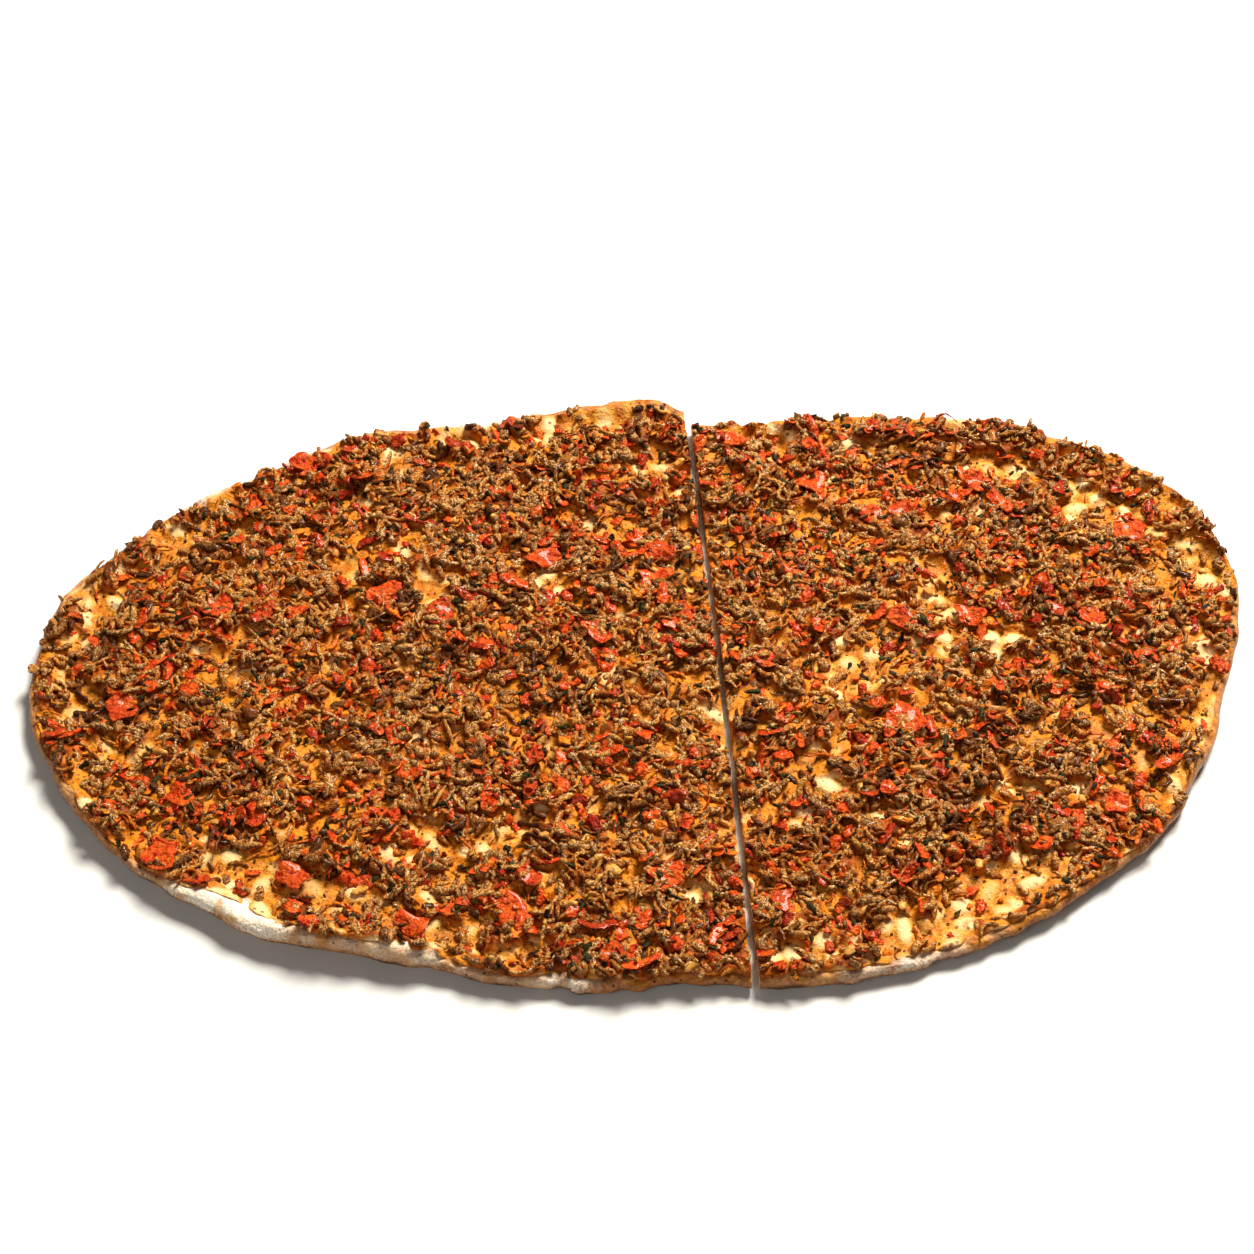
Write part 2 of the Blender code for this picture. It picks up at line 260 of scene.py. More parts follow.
class Finish:
    """A material's node tree, written as short calls: each makes a node and returns its output."""

    def __init__(self, name, roughness=0.5, **sockets):
        """A new material, its shine low and warm, with any other of the shader's sockets set by name."""
        self.material = bpy.data.materials.new(name)
        self.material.use_nodes = True
        self.tree = self.material.node_tree
        self.shader = self.tree.nodes["Principled BSDF"]
        self.shader.inputs["Roughness"].default_value = roughness
        self.shader.inputs["Specular IOR Level"].default_value = SHINE
        self.shader.inputs["Specular Tint"].default_value = SHINE_TINT
        for socket, value in sockets.items():
            self.shader.inputs[socket.replace("_", " ")].default_value = value
        self.place = self.tree.nodes.new("ShaderNodeTexCoord").outputs["Object"]

    def put(self, source, socket):
        """A link, or a plain value, into a socket."""
        if isinstance(source, bpy.types.NodeSocket):
            self.tree.links.new(source, socket)
        else:
            socket.default_value = (*source, 1) if isinstance(source, tuple) else source

    def trait(self, name):
        """The number that each point of the mesh keeps under this name."""
        node = self.tree.nodes.new("ShaderNodeAttribute")
        node.attribute_name = name
        return node.outputs["Fac"]

    def noise(self, size, detail=3.0, rough=0.55, low=0.3, high=0.7):
        """Noise of about this size in mm, spread to run from 0 to 1."""
        node = self.tree.nodes.new("ShaderNodeTexNoise")
        node.inputs["Scale"].default_value = 1 / (size * MM)
        node.inputs["Detail"].default_value = detail
        node.inputs["Roughness"].default_value = rough
        self.put(self.place, node.inputs["Vector"])
        return self.span(node.outputs["Fac"], low, high)

    def cells(self, size, low=0.0, high=1.0):
        """Distance to the nearest of scattered points, spaced by about this size in mm."""
        node = self.tree.nodes.new("ShaderNodeTexVoronoi")
        node.inputs["Scale"].default_value = 1 / (size * MM)
        self.put(self.place, node.inputs["Vector"])
        return self.span(node.outputs["Distance"], low, high)

    def span(self, value, low, high, to_low=0.0, to_high=1.0):
        """The value, moved from one span to another by a smooth step and held inside it."""
        node = self.tree.nodes.new("ShaderNodeMapRange")
        node.interpolation_type = "SMOOTHSTEP"
        self.put(value, node.inputs["Value"])
        ends = {"From Min": low, "From Max": high, "To Min": to_low, "To Max": to_high}
        for socket, number in ends.items():
            node.inputs[socket].default_value = number
        return node.outputs["Result"]

    def sum(self, operation, *numbers, held=True):
        """One sum of the Math node, held between 0 and 1 or left as it comes."""
        node = self.tree.nodes.new("ShaderNodeMath")
        node.operation = operation
        node.use_clamp = held
        for socket, number in zip(node.inputs, numbers):
            self.put(number, socket)
        return node.outputs["Value"]

    def mix(self, share, first, second, blend="MIX"):
        """The first colour, giving way to the second by the share."""
        node = self.tree.nodes.new("ShaderNodeMix")
        node.data_type = "RGBA"
        node.blend_type = blend
        share_socket, first_socket, second_socket, colour_socket = 0, 6, 7, 2
        self.put(share, node.inputs[share_socket])
        self.put(first, node.inputs[first_socket])
        self.put(second, node.inputs[second_socket])
        return node.outputs[colour_socket]

    def finish(self, colour, roughness=None, relief=None, depth=0.2):
        """Colour, roughness and a bump of this depth in mm, into the shader."""
        self.put(colour, self.shader.inputs["Base Color"])
        if roughness is not None:
            self.put(roughness, self.shader.inputs["Roughness"])
        if relief is not None:
            bump = self.tree.nodes.new("ShaderNodeBump")
            bump.inputs["Distance"].default_value = depth * MM
            self.put(relief, bump.inputs["Height"])
            self.put(bump.outputs["Normal"], self.shader.inputs["Normal"])
        return self.material


DOUGH_BEARINGS = 680
RIM_SAMPLES = 5000
# how far in from the lip each line of points lies, and further in, what share of the last one's reach
STATIONS = np.concatenate([
    np.arange(0, 15, 0.62),
    np.arange(15, 24, 1.5),
    np.array([25, 29, 34, 40, 48]),
])
INNER_STATIONS = np.array([0.82, 0.62, 0.42, 0.22, 0.08, 0.0])
LIP_STEPS = 7
LIP_RADIUS, LIP_WOBBLE, LIP_LEVEL = 1.6, 0.35, 0.42
UNDERNEATH = -1.5
UNDERSIDE_WAVE = 0.18
CUT_LEVELS = 7
TORN_DEPTH = 0.35
COVERED_DROP = 0.9
CRUMB_CREAM = (0.80, 0.50, 0.22)
CUT_CREAM = (0.95, 0.84, 0.68)
FLOURED = (
    (217, 7, 1.7),
    (236, 8, 0.5),
    (259, 4, 0.9),
    (247, 12, 0.3),
    (305, 7, 0.8),
    (150, 15, 0.7),
    (115, 6, 0.6),
)
BLISTER_SWELLS = ((231, 24, 0.6), (262, 16, 0.45), (300, 24, 0.35))
RIM_CREAM = (0.83, 0.58, 0.33)
FLOUR_HIGHLIGHT_WHITE = (0.96, 0.87, 0.74)
OIL_GOLD = (0.70, 0.28, 0.035)
OIL_RUST = (0.42, 0.10, 0.008)
TOAST_ROSE = (0.44, 0.19, 0.080)
TOAST_BROWN = (0.24, 0.065, 0.012)
CHAR_BLACK = (0.035, 0.012, 0.004)


def blisters(x, y, inset, bearing):
    """Domes of three sizes on the rim and the margin, tallest where the rim is thick."""
    puffed = swells(bearing, 0.45, BLISTER_SWELLS)
    large, _ = domes(x, y, 8.5, 8.0, 6.0, 11)
    middle, _ = domes(x, y, 4.6, 4.2, 3.0, 17)
    small, _ = domes(x, y, 2.3, 1.8, 1.4, 23)
    return puffed * (0.75 * large + 0.40 * middle + 0.14 * small) * ease(26, 12, inset)


def bread_half(side):
    """One half of the bread. The points run as bearings round the middle of the cut, and along each
    bearing as a profile: out over the top, round an elliptical lip, and back along the underside. The
    outline is rim_reach, met along each bearing, and a wall of crumb closes the two end profiles."""
    sign, left = (-1, True) if side == "left" else (1, False)
    round_all = np.linspace(-math.pi, math.pi, RIM_SAMPLES)
    reach = rim_reach(round_all, left)
    rim_x, rim_y = CENTRE_X + reach * np.cos(round_all), reach * np.sin(round_all)
    away = sign * (rim_x - cut_line(rim_y)) - half_kerf(rim_y)
    inside = away > 0
    heading = np.arctan2(rim_y, away)[inside]
    order = np.argsort(heading)
    headings = np.linspace(-math.pi / 2, math.pi / 2, DOUGH_BEARINGS)
    reach = np.interp(headings, heading[order], np.hypot(away, rim_y)[inside][order])[:, None]

    lip = LIP_RADIUS + LIP_WOBBLE * drift(reach, 40 * headings[:, None], 9, 29)
    turn = np.linspace(math.pi / 2, -math.pi / 2, 2 * LIP_STEPS + 1)[1:-1]
    last = reach - STATIONS[-1] - lip
    top = np.concatenate([INNER_STATIONS[::-1] * last, (reach - lip) - STATIONS[::-1]], axis=1)
    curl = reach - lip * (1 - np.cos(turn))
    radius = np.concatenate([top, curl, top[:, ::-1]], axis=1)
    flat = np.full(top.shape[1], math.pi / 2)
    turns = np.concatenate([flat, turn, -flat])

    y = radius * np.sin(headings[:, None])
    away = radius * np.cos(headings[:, None])
    x = cut_line(y) + sign * (away + half_kerf(y))
    bearing, inset = polar(x, y, left)
    inset = np.maximum(inset, 0)
    low = underside(inset, bearing, left)
    covered = ease(0.5, 4.5, inset - meat_edge(bearing, left))
    high = dough_top(x, y, inset, bearing, left) + blisters(x, y, inset, bearing) * (1 - covered)
    high = high - COVERED_DROP * covered
    middle = low + LIP_LEVEL * (high - low)
    z = middle + np.where(turns > 0, high - middle, middle - low) * np.sin(turns)
    z = z + (turns < UNDERNEATH) * UNDERSIDE_WAVE * (1 + drift(x, y, 7, 37)) * ease(34, 20, inset)

    rows, columns = x.shape
    points = np.stack([x, y, z], -1).reshape(-1, 3)
    faces = [quads(rows, columns)]
    traits = [np.stack([inset, turns + 0 * inset, 0 * inset], -1).reshape(-1, 3)]
    half = columns // 2
    for row in (0, rows - 1):
        over = np.stack([x[row], y[row], z[row]], -1)
        share = np.linspace(0, 1, CUT_LEVELS)[:, None, None]
        wall = over[None, : half + 1] * (1 - share) + over[None, ::-1][:, : half + 1] * share
        torn = TORN_DEPTH * (1 + drift(wall[..., 1], wall[..., 2] * 1.6, 2.1, 41))
        torn = torn * np.sin(math.pi * share[..., 0])
        wall[..., 0] += sign * torn * ease(0, 3, inset[row, : half + 1])
        start = sum(len(block) for block in traits)
        points = np.concatenate([points, wall.reshape(-1, 3)])
        faces.append(quads(CUT_LEVELS, half + 1, start)[:, :: (1 if row else -1)])
        on_wall = np.broadcast_to(inset[row, : half + 1], wall.shape[:2])
        traits.append(np.stack([on_wall, 0 * on_wall, 1 + 0 * on_wall], -1).reshape(-1, 3))
    first, faces = welded(points, np.concatenate(faces))
    return points[first], faces, np.concatenate(traits)[first]


def bread_traits(points, marks, left):
    """Numbers for the bread's colours, each a product of smooth steps and soft hills: oil from the
    meat, toast on the lip, char below it, flour with a painted highlight kept to the lip's upper face,
    and the crumb at the cut."""
    x, y, _ = points.T
    inset, turns, crumb = marks.T
    under = turns < UNDERNEATH
    bearing, _ = polar(x, y, left)
    edge = meat_edge(bearing, left)
    floured = swells(bearing, 0.0, FLOURED)
    oil = ease(-4.0, 1.0, inset - edge + 2.5 * drift(x, y, 7, 51) + 1.2 * drift(x, y, 2.6, 52))
    oil = np.maximum(oil, np.clip(0.95 - 1.15 * floured + 0.35 * drift(x, y, 7, 53), 0, 1))
    spots = 0.6 * drift(x, y, 6.5, 54) + 0.4 * drift(x, y, 2.6, 55)
    toast = ease(0.15, 0.65, spots + 0.2 * ease(4.5, 1.0, inset)) * ease(9, 2, inset)
    on_lip = ease(1.35, 0.5, turns) * ~under
    toast = np.maximum(toast, on_lip * np.clip(0.9 + 0.7 * spots, 0, 1))
    toast = np.maximum(toast, under * ease(-0.5, 0.7, spots))
    char = ease(0.40, -0.25, turns + 0.4 * drift(x, y, 5, 56))
    char = char * np.clip(0.75 + 0.6 * drift(x, y, 3, 57), 0, 1)
    char = char * np.where(under, ease(5, 0, inset), 1)
    flour_and_highlight = floured * ease(13, 6.0, inset)
    # flour and a painted highlight: the white is kept to the upward faces of the lip and margin
    flour_and_highlight = flour_and_highlight * ease(-0.8, 0.0, drift(x, y, 4, 58)) * ease(-0.1, 0.9, turns)
    return {"oil": oil, "toast": toast, "char": char, "flour_and_highlight": flour_and_highlight, "crumb": crumb}


def bread_finish():
    """Cream dough that oil turns gold and rust, toasted in spots, charred at its edge, and floured and
    whitened by a painted highlight on top.
    """
    bread = Finish("baked_bread", 0.5)
    fine = bread.noise(0.9, 4)
    broad = bread.noise(5.0, 4)
    speck = bread.cells(2.6, 0.10, 0.26)
    dough = bread.mix(broad, CRUMB_CREAM, RIM_CREAM)
    oily = bread.mix(bread.noise(3.0, 4, 0.6, 0.35, 0.68), OIL_GOLD, OIL_RUST)
    colour = bread.mix(bread.trait("oil"), dough, oily)
    toasted = bread.sum("MULTIPLY", bread.trait("toast"), bread.span(fine, 0.0, 0.75, 0.35, 1.0))
    colour = bread.mix(toasted, colour, bread.mix(bread.noise(1.7, 4), TOAST_ROSE, TOAST_BROWN))
    colour = bread.mix(bread.trait("char"), colour, CHAR_BLACK)
    # painted highlight and flour: white on the upper face of the floured rim
    flour_highlight_share = bread.sum("MULTIPLY", bread.trait("flour_and_highlight"), bread.noise(0.7, 5, 0.7, 0.34, 0.56))
    colour = bread.mix(flour_highlight_share, colour, FLOUR_HIGHLIGHT_WHITE)
    specks = bread.sum("MULTIPLY", bread.sum("SUBTRACT", 1.0, speck), bread.trait("oil"))
    colour = bread.mix(specks, colour, TOAST_BROWN, "MULTIPLY")
    colour = bread.mix(bread.sum("MULTIPLY", bread.trait("crumb"), 0.9), colour, CUT_CREAM)
    roughness = bread.span(bread.trait("oil"), 0.1, 0.9, 0.72, 0.30)
    bumps = bread.sum("MULTIPLY", bread.noise(2.2, 3), 0.5)
    relief = bread.sum("ADD", bread.sum("MULTIPLY", fine, 0.5), bumps)
    return bread.finish(colour, roughness, relief, 0.35)


bread_material = bread_finish()
for side in ("left", "right"):
    points, faces, marks = bread_half(side)
    traits = bread_traits(points, marks, side == "left")
    make_piece(f"bread_{side}", points, faces, traits, bread_material, [f"dough_{side}"])


# ----------------------------------------------------------------------------------------------------
# The bed of meat: minced lamb with onion, tomato and pepper, pressed onto the raw dough and baked in
# its own fat. It is a crumbly crust, red with oil, whose hollows are darkened with painted shade, and it
# has shrunk from patches of dough that lie bare and glossy. The bed is the lower part of the crust; the
# loose crumbs on it follow.

BED_STEP = 0.65
BED_INSET, BED_GAP = 1.2, 0.12
BED_DEPTH = 0.9
BED_MIDDLE = 70
BED_RINGS = (1.0, 0.95, 0.88, 0.8, 0.65, 0.5, 0.35, 0.2)
MEAT_THICKNESS = 2.1
MEAT_TAPER = 8.0
COARSE_GRAIN, FINE_GRAIN, BED_BLISTER = 1.1, 0.45, 1.3
# the middle of each bare patch, its length and width, and its turn in degrees
BARE_PATCHES = (
    (-118, -70, 32, 14, 150),
    (-90, -80, 30, 13, 165),
    (-60, -92, 34, 12, 170),
    (97, -82, 46, 17, 38),
    (72, -93, 26, 11, 25),
    (45, -99, 28, 10, 10),
    (-168, 26, 26, 14, 62),
    (-149, 52, 22, 10, 45),
    (176, 40, 26, 12, 105),
    (171, 12, 22, 13, 100),
    (23, -24, 30, 10, 112),
    (-38, -58, 30, 10, 31),
    (63, 2, 24, 11, 31),
    (-20, 101, 38, 8, 8),
    (-171, -13, 20, 12, 86),
    (-68, 31, 21, 10, 116),
    (-60, 95, 26, 7, 155),
    (150, 14, 18, 8, 168),
    (156, -44, 20, 8, 69),
    (112, 12, 18, 8, 170),
    (50, -30, 16, 8, 24),
    (-29, 36, 14, 10, 119),
    (140, 68, 30, 13, 56),
    (-8, -5, 14, 10, 147),
    (42, 96, 20, 9, 166),
    (95, 24, 20, 9, 95),
    (-176, 5, 22, 8, 88),
    (-160, -28, 16, 8, 80),
    (-104, -78, 30, 8, 158),
    (-38, -99, 32, 8, 178),
    (112, -72, 32, 14, 35),
    (86, -90, 28, 12, 30),
    (171, -18, 24, 13, 84),
    (162, 58, 26, 12, 130),
    (118, 80, 38, 15, 155),
    (72, 92, 20, 7, 172),
)


def bare_share(x, y, inset, edge):
    """1 where dough lies bare: the largest of ragged ellipses, of small gaps where soft hills are
    highest, and of the margin."""
    patch = np.full(x.shape, -1.0)
    for centre_x, centre_y, length, width, turn in BARE_PATCHES:
        dx, dy, turn = x - centre_x, y - centre_y, math.radians(turn)
        along = (dx * math.cos(turn) + dy * math.sin(turn)) / (length / 2)
        across = (dy * math.cos(turn) - dx * math.sin(turn)) / (width / 2)
        patch = np.maximum(patch, 1 - np.sqrt(along**2 + across**2))
    ragged = 0.42 * drift(x, y, 5.2, 61) + 0.30 * drift(x, y, 2.6, 62)
    gaps = 0.62 * drift(x, y, 10, 63) + 0.48 * drift(x, y, 4.6, 64) - 0.38
    margin = (edge - inset) / 4 + 0.1
    return ease(-0.02, 0.30, np.maximum(np.maximum(patch + ragged, gaps * 1.3), margin))


def meat_ground(x, y, left):
    """The bed's height before its grain, and how bare and how heaped it is, from 0 to 1. The height is
    the dough's top and a crust, which thins as a sine towards its edge and rises on soft hills."""
    bearing, inset = polar(x, y, left)
    edge = meat_edge(bearing, left)
    bare = bare_share(x, y, inset, edge)
    base = dough_top(x, y, np.maximum(inset, 0), bearing, left)
    inward = np.sin(np.clip((inset - edge + 1) / MEAT_TAPER, 0, 1) * math.pi / 2)
    hills = 0.35 * drift(x, y, 14, 65) + 0.75 * drift(x, y, 6.5, 66) + 0.25 * drift(x, y, 3.2, 67)
    heap = ease(-0.55, 0.5, hills)
    crust = (0.35 + 0.45 * inward) * MEAT_THICKNESS * (0.10 + 1.35 * heap)
    return base + (1 - bare) * crust, bare, heap * (1 - bare)


def bed_half(side):
    """The top is a square lattice of points, sheared to run along the cut and drawn in to the outline.
    Its open edge drops into the dough, and shrunken copies of that edge, joined in rings, close it."""
    sign, left = (-1, True) if side == "left" else (1, False)
    away = np.arange(0, 2.2 * HALF_LENGTH, BED_STEP)
    across = np.arange(-HALF_WIDTH * 1.1, HALF_WIDTH * 1.1, BED_STEP)
    away, y = np.meshgrid(away, across)
    x = cut_line(y) + sign * (away + half_kerf(y) + BED_GAP)
    bearing, inset = polar(x, y, left)
    inner = BED_INSET + 0.5 * meat_edge(bearing, left)
    outside = inset < inner
    shrunk = (rim_reach(bearing, left) - inner) / np.maximum(np.hypot(x - CENTRE_X, y), 1)
    pull = np.where(outside, shrunk, 1)
    keep = ~(outside[:-1, :-1] & outside[1:, :-1] & outside[:-1, 1:] & outside[1:, 1:])
    x, y = CENTRE_X + (x - CENTRE_X) * pull, y * pull
    gap = half_kerf(y) + BED_GAP
    x = np.where(sign * (x - cut_line(y)) < gap, cut_line(y) + sign * gap, x)
    x, y = x.ravel(), y.ravel()
    ground, bare, heap = meat_ground(x, y, left)
    coarse, name = domes(x, y, 2.3, 4.2, 2.0, 71)
    fine, _ = domes(x, y, 1.5, 2.4, 1.3, 81)
    blister, _ = domes(x, y, 8.0, 9.5, 6.8, 91)
    grain = (1 - bare) * (0.35 + 0.65 * heap) * (COARSE_GRAIN * coarse + FINE_GRAIN * fine)
    top = ground + grain + (1 - heap) * (BED_BLISTER * blister + 0.14 * drift(x, y, 2.2, 95) - 0.1)
    points = np.stack([x, y, top], -1)
    faces = quads(keep.shape[0] + 1, keep.shape[1] + 1)[np.tile(keep.ravel(), 2)]

    ends = np.concatenate([faces[:, [0, 1]], faces[:, [1, 2]], faces[:, [2, 0]]])
    code = ends[:, 0] * len(points) + ends[:, 1]
    open_ends = ends[~np.isin(code, ends[:, 1] * len(points) + ends[:, 0])]
    middle_x = cut_line(0) + sign * BED_MIDDLE
    size = len(points)
    levels = [np.stack([middle_x + share * (x - middle_x), share * y], -1) for share in BED_RINGS]
    below = []
    for level in levels:
        bearing, inset = polar(*level.T, left)
        floor_z = dough_top(*level.T, np.maximum(inset, 0), bearing, left) - BED_DEPTH
        below.append(np.column_stack([level, floor_z]))
    skirt = []
    for level in range(len(BED_RINGS)):
        a, b = open_ends.T + level * size
        skirt.append(np.stack([b, a, a + size], 1))
        skirt.append(np.stack([b, a + size, b + size], 1))
    last_a, last_b = open_ends.T + len(BED_RINGS) * size
    fan = np.stack([last_b, last_a, np.full(len(last_a), (1 + len(BED_RINGS)) * size)], 1)
    centre = np.array([[middle_x, 0, DOUGH_THICKNESS - BED_DEPTH]])
    skirt = np.concatenate(skirt)
    everything = np.concatenate([points, *below, centre])
    used, index = np.unique(np.concatenate([faces, skirt, fan]), return_inverse=True)
    faces = index.reshape(-1, 3)
    # painted shade: 1 in the hollows between the grains, 0 on their crowns
    hollow_shade = 1 - np.clip(grain / 1.2, 0, 1)
    traits = np.stack([bare, name, hollow_shade, blister, heap], -1)
    traits = np.concatenate([np.tile(traits, (1 + len(BED_RINGS), 1)), [[0, 0.5, 1, 0, 0]]])[used]
    first, faces = welded(everything[used], faces)
    return everything[used][first], faces, traits[first]


BED_RUST = (0.54, 0.110, 0.003)
BED_DEEP = (0.17, 0.020, 0.0010)
BED_AMBER = (0.76, 0.250, 0.013)
BARE_CREAM = (0.95, 0.68, 0.33)
BARE_GOLD = (0.84, 0.40, 0.055)
BARE_ORANGE = (0.52, 0.145, 0.008)


def bed_finish():
    """Rust-red crust, its hollows darkened with painted shade; on bare dough, cream blisters in golden
    and orange oil.
    """
    bed = Finish("meat_bed", 0.38)
    broad = bed.noise(4.0, 4)
    crust = bed.mix(bed.trait("name"), BED_RUST, BED_DEEP)
    # painted shade: the crust darkens towards BED_DEEP in the hollows between the grains
    crust = bed.mix(bed.sum("MULTIPLY", bed.trait("hollow_shade"), 0.35), crust, BED_DEEP)
    crust = bed.mix(bed.span(bed.trait("heap"), 0.15, 0.6, 1.0, 0.0), crust, BED_AMBER)
    crust = bed.mix(bed.noise(1.3, 4, 0.65, 0.52, 0.66), crust, BED_DEEP)
    domed = bed.span(bed.trait("blister"), 0.0, 0.4, 0.0, 0.7)
    puffed = bed.sum("ADD", domed, bed.noise(3.2, 4, 0.6, 0.4, 0.7))
    dough = bed.mix(puffed, BARE_ORANGE, BARE_GOLD)
    dough = bed.mix(bed.noise(1.1, 4, 0.7, 0.46, 0.66), dough, BARE_ORANGE)
    dough = bed.mix(bed.span(bed.trait("bare"), 0.35, 1.0, 0.85, 0.0), dough, BED_RUST)
    dough = bed.mix(bed.span(bed.trait("blister"), 0.35, 0.95), dough, BARE_CREAM)
    specks = bed.sum("MULTIPLY", bed.span(bed.cells(2.8), 0.05, 0.17, 1.0, 0.0), 0.8)
    dough = bed.mix(specks, dough, BED_DEEP)
    colour = bed.mix(bed.trait("bare"), crust, dough)
    roughness = bed.span(bed.trait("bare"), 0.0, 1.0, 0.38, 0.20)
    bumps = bed.sum("MULTIPLY", bed.noise(0.8, 3), 0.5)
    relief = bed.sum("ADD", bed.sum("MULTIPLY", broad, 0.5), bumps)
    return bed.finish(colour, roughness, relief, 0.3)


bed_material = bed_finish()
for side in ("left", "right"):
    points, faces, marks = bed_half(side)
    traits = dict(zip(("bare", "name", "hollow_shade", "blister", "heap"), marks.T))
    make_piece(f"meat_bed_{side}", points, faces, traits, bed_material, [f"meat_{side}"])


# ----------------------------------------------------------------------------------------------------
# The mince: loose crumbs of cooked meat, most of them five to eight millimetres along their curl, that
# lie on the bed in a tight pile at every angle. Some stayed fawn, some browned, and some took up the
# red oil. Each kind is one piece, of crumbs built alike: a bent, lumpy sausage of six rings.

CRUMB_SPACING = 2.50
CRUMB_CEILING = 2.9
CRUMB_REST, CRUMB_HEAPED = 0.15, 0.45
CRUMB_RINGS, CRUMB_SIDES, CRUMB_LUMPS = 6, 6, 0.17
FOLD_SPACING = 1.25
SHAKE = 0.5
EDGE_SHARE, EDGE_CLEAR, CUT_CLEAR = 0.85, 0.5, 0.4
CUT_LEAN = 0.05
PRESSED_TO = 1.0


def lies_on(x, y):
    """Which half a place is on: True on the left of the cut."""
    return x < cut_line(y)


def settle(rng, spacing, inward=0.0):
    """Places strewn over the meat: a lattice, shaken by up to half its spacing, less the places that
    lie over the cut or past the meat's edge."""
    x, y = np.meshgrid(np.arange(-200, 200, spacing), np.arange(-125, 125, spacing))
    x = (x + spacing * rng.uniform(-SHAKE, SHAKE, x.shape)).ravel()
    y = (y + spacing * rng.uniform(-SHAKE, SHAKE, y.shape)).ravel()
    left = lies_on(x, y)
    bearing, inset = polar(x, y, left)
    off_rim = inset > meat_edge(bearing, left) * EDGE_SHARE + EDGE_CLEAR + inward
    off_cut = np.abs(x - cut_line(y)) > half_kerf(y) + CUT_CLEAR
    on = off_rim & off_cut
    return x[on], y[on], left[on]


def turned(local, yaw, pitch, roll):
    """Points of many small things (thing, point, axis), rolled about X, then pitched about Y, then
    turned about Z, each by the cosine and sine of its own angle."""
    x, y, z = local[..., 0], local[..., 1], local[..., 2]
    cos, sin = np.cos(roll)[:, None], np.sin(roll)[:, None]
    y, z = y * cos - z * sin, y * sin + z * cos
    cos, sin = np.cos(pitch)[:, None], np.sin(pitch)[:, None]
    x, z = x * cos + z * sin, z * cos - x * sin
    cos, sin = np.cos(yaw)[:, None], np.sin(yaw)[:, None]
    return np.stack([x * cos - y * sin, x * sin + y * cos, z], -1)


def ring_faces(rings, sides):
    """Triangles of a closed sausage: a pole, rings of points, and a pole."""
    a = 1 + (np.arange(rings - 1)[:, None] * sides + np.arange(sides)).ravel()
    b = 1 + (np.arange(rings - 1)[:, None] * sides + (np.arange(sides) + 1) % sides).ravel()
    body = np.concatenate([np.stack([a, b, b + sides], 1), np.stack([a, b + sides, a + sides], 1)])
    first, last = np.arange(sides), (np.arange(sides) + 1) % sides
    start = np.stack([np.zeros(sides, int), 1 + last, 1 + first], 1)
    final = 1 + (rings - 1) * sides
    end = np.stack([np.full(sides, 1 + rings * sides), final + first, final + last], 1)
    return np.concatenate([body, start, end])


def sausages(
    rng, count, length, width, flat, arc, lumps, rings=CRUMB_RINGS, sides=CRUMB_SIDES, thin=1.0
):
    """Curled sausages about the origin (thing, point, axis). Along u from pole to pole, the middle line
    is an arc through the angle given. The radius is sin u to the 0.6 times half the width, scaled by
    thin across the arc and by flat above it, and lumps push out each point and each ring."""
    u = math.pi * np.arange(1, rings + 1) / (rings + 1)
    share = np.concatenate([[1], np.repeat(np.cos(u), sides), [-1]])
    fat = np.concatenate([[0], np.repeat(np.sin(u) ** 0.6, sides), [0]])
    around = math.tau * np.arange(sides) / sides
    spiral = around + 0.5 * np.arange(rings)[:, None] * math.tau / sides
    around = np.concatenate([[0], spiral.ravel(), [0]])
    beads = np.repeat(rng.normal(0, 1, (count, rings)), sides, axis=1)
    push = 1 + lumps * rng.normal(0, 1, (count, len(share)))
    push[:, 1:-1] += 1.1 * lumps * beads
    fat = fat * push * width[:, None] / 2
    across = fat * np.cos(around) * np.reshape(thin, (-1, 1))
    arc = np.maximum(np.abs(arc), 0.02)[:, None]
    angle = share * arc / 2
    reach = length[:, None] / arc
    x = reach * np.sin(angle) + across * np.sin(angle)
    y = reach * (1 - np.cos(angle)) - across * np.cos(angle)
    z = fat * np.sin(around) * flat[:, None]
    return np.stack([x, y - y.mean(1, keepdims=True), z], -1)


def crumb_height(x, y, left):
    """The height at which a loose crumb rests, which is the bed's plus a little more on a heap, how
    heaped the bed is there, and how bare."""
    ground, bare, heap = meat_ground(x, y, left)
    return ground + CRUMB_REST + CRUMB_HEAPED * heap, heap, bare


def strewn(name, body, place, spin, faces, traits, material):
    """Small things joined into one piece: each body turned and set at its place, kept on its own side
    of the cut, and pressed no deeper than a little above the underside of the bread."""
    x, y, z = np.moveaxis(turned(body, *spin) + place[:, None], -1, 0)
    left = lies_on(place[:, 0], place[:, 1])[:, None]
    wall = cut_line(y) + np.where(left, -1, 1) * (half_kerf(y) - CUT_LEAN)
    x = np.where(left, np.minimum(x, wall), np.maximum(x, wall))
    bearing, inset = polar(x, y, left)
    z = np.maximum(z, underside(np.maximum(inset, 0), bearing, left) + PRESSED_TO)
    points = np.stack([x, y, z], -1)
    count, each = points.shape[:2]
    faces = (faces[None] + each * np.arange(count)[:, None, None]).reshape(-1, 3)
    traits = {trait: np.broadcast_to(values, (count, each)).ravel() for trait, values in traits.items()}
    return make_piece(name, points.reshape(-1, 3), faces, traits, material)


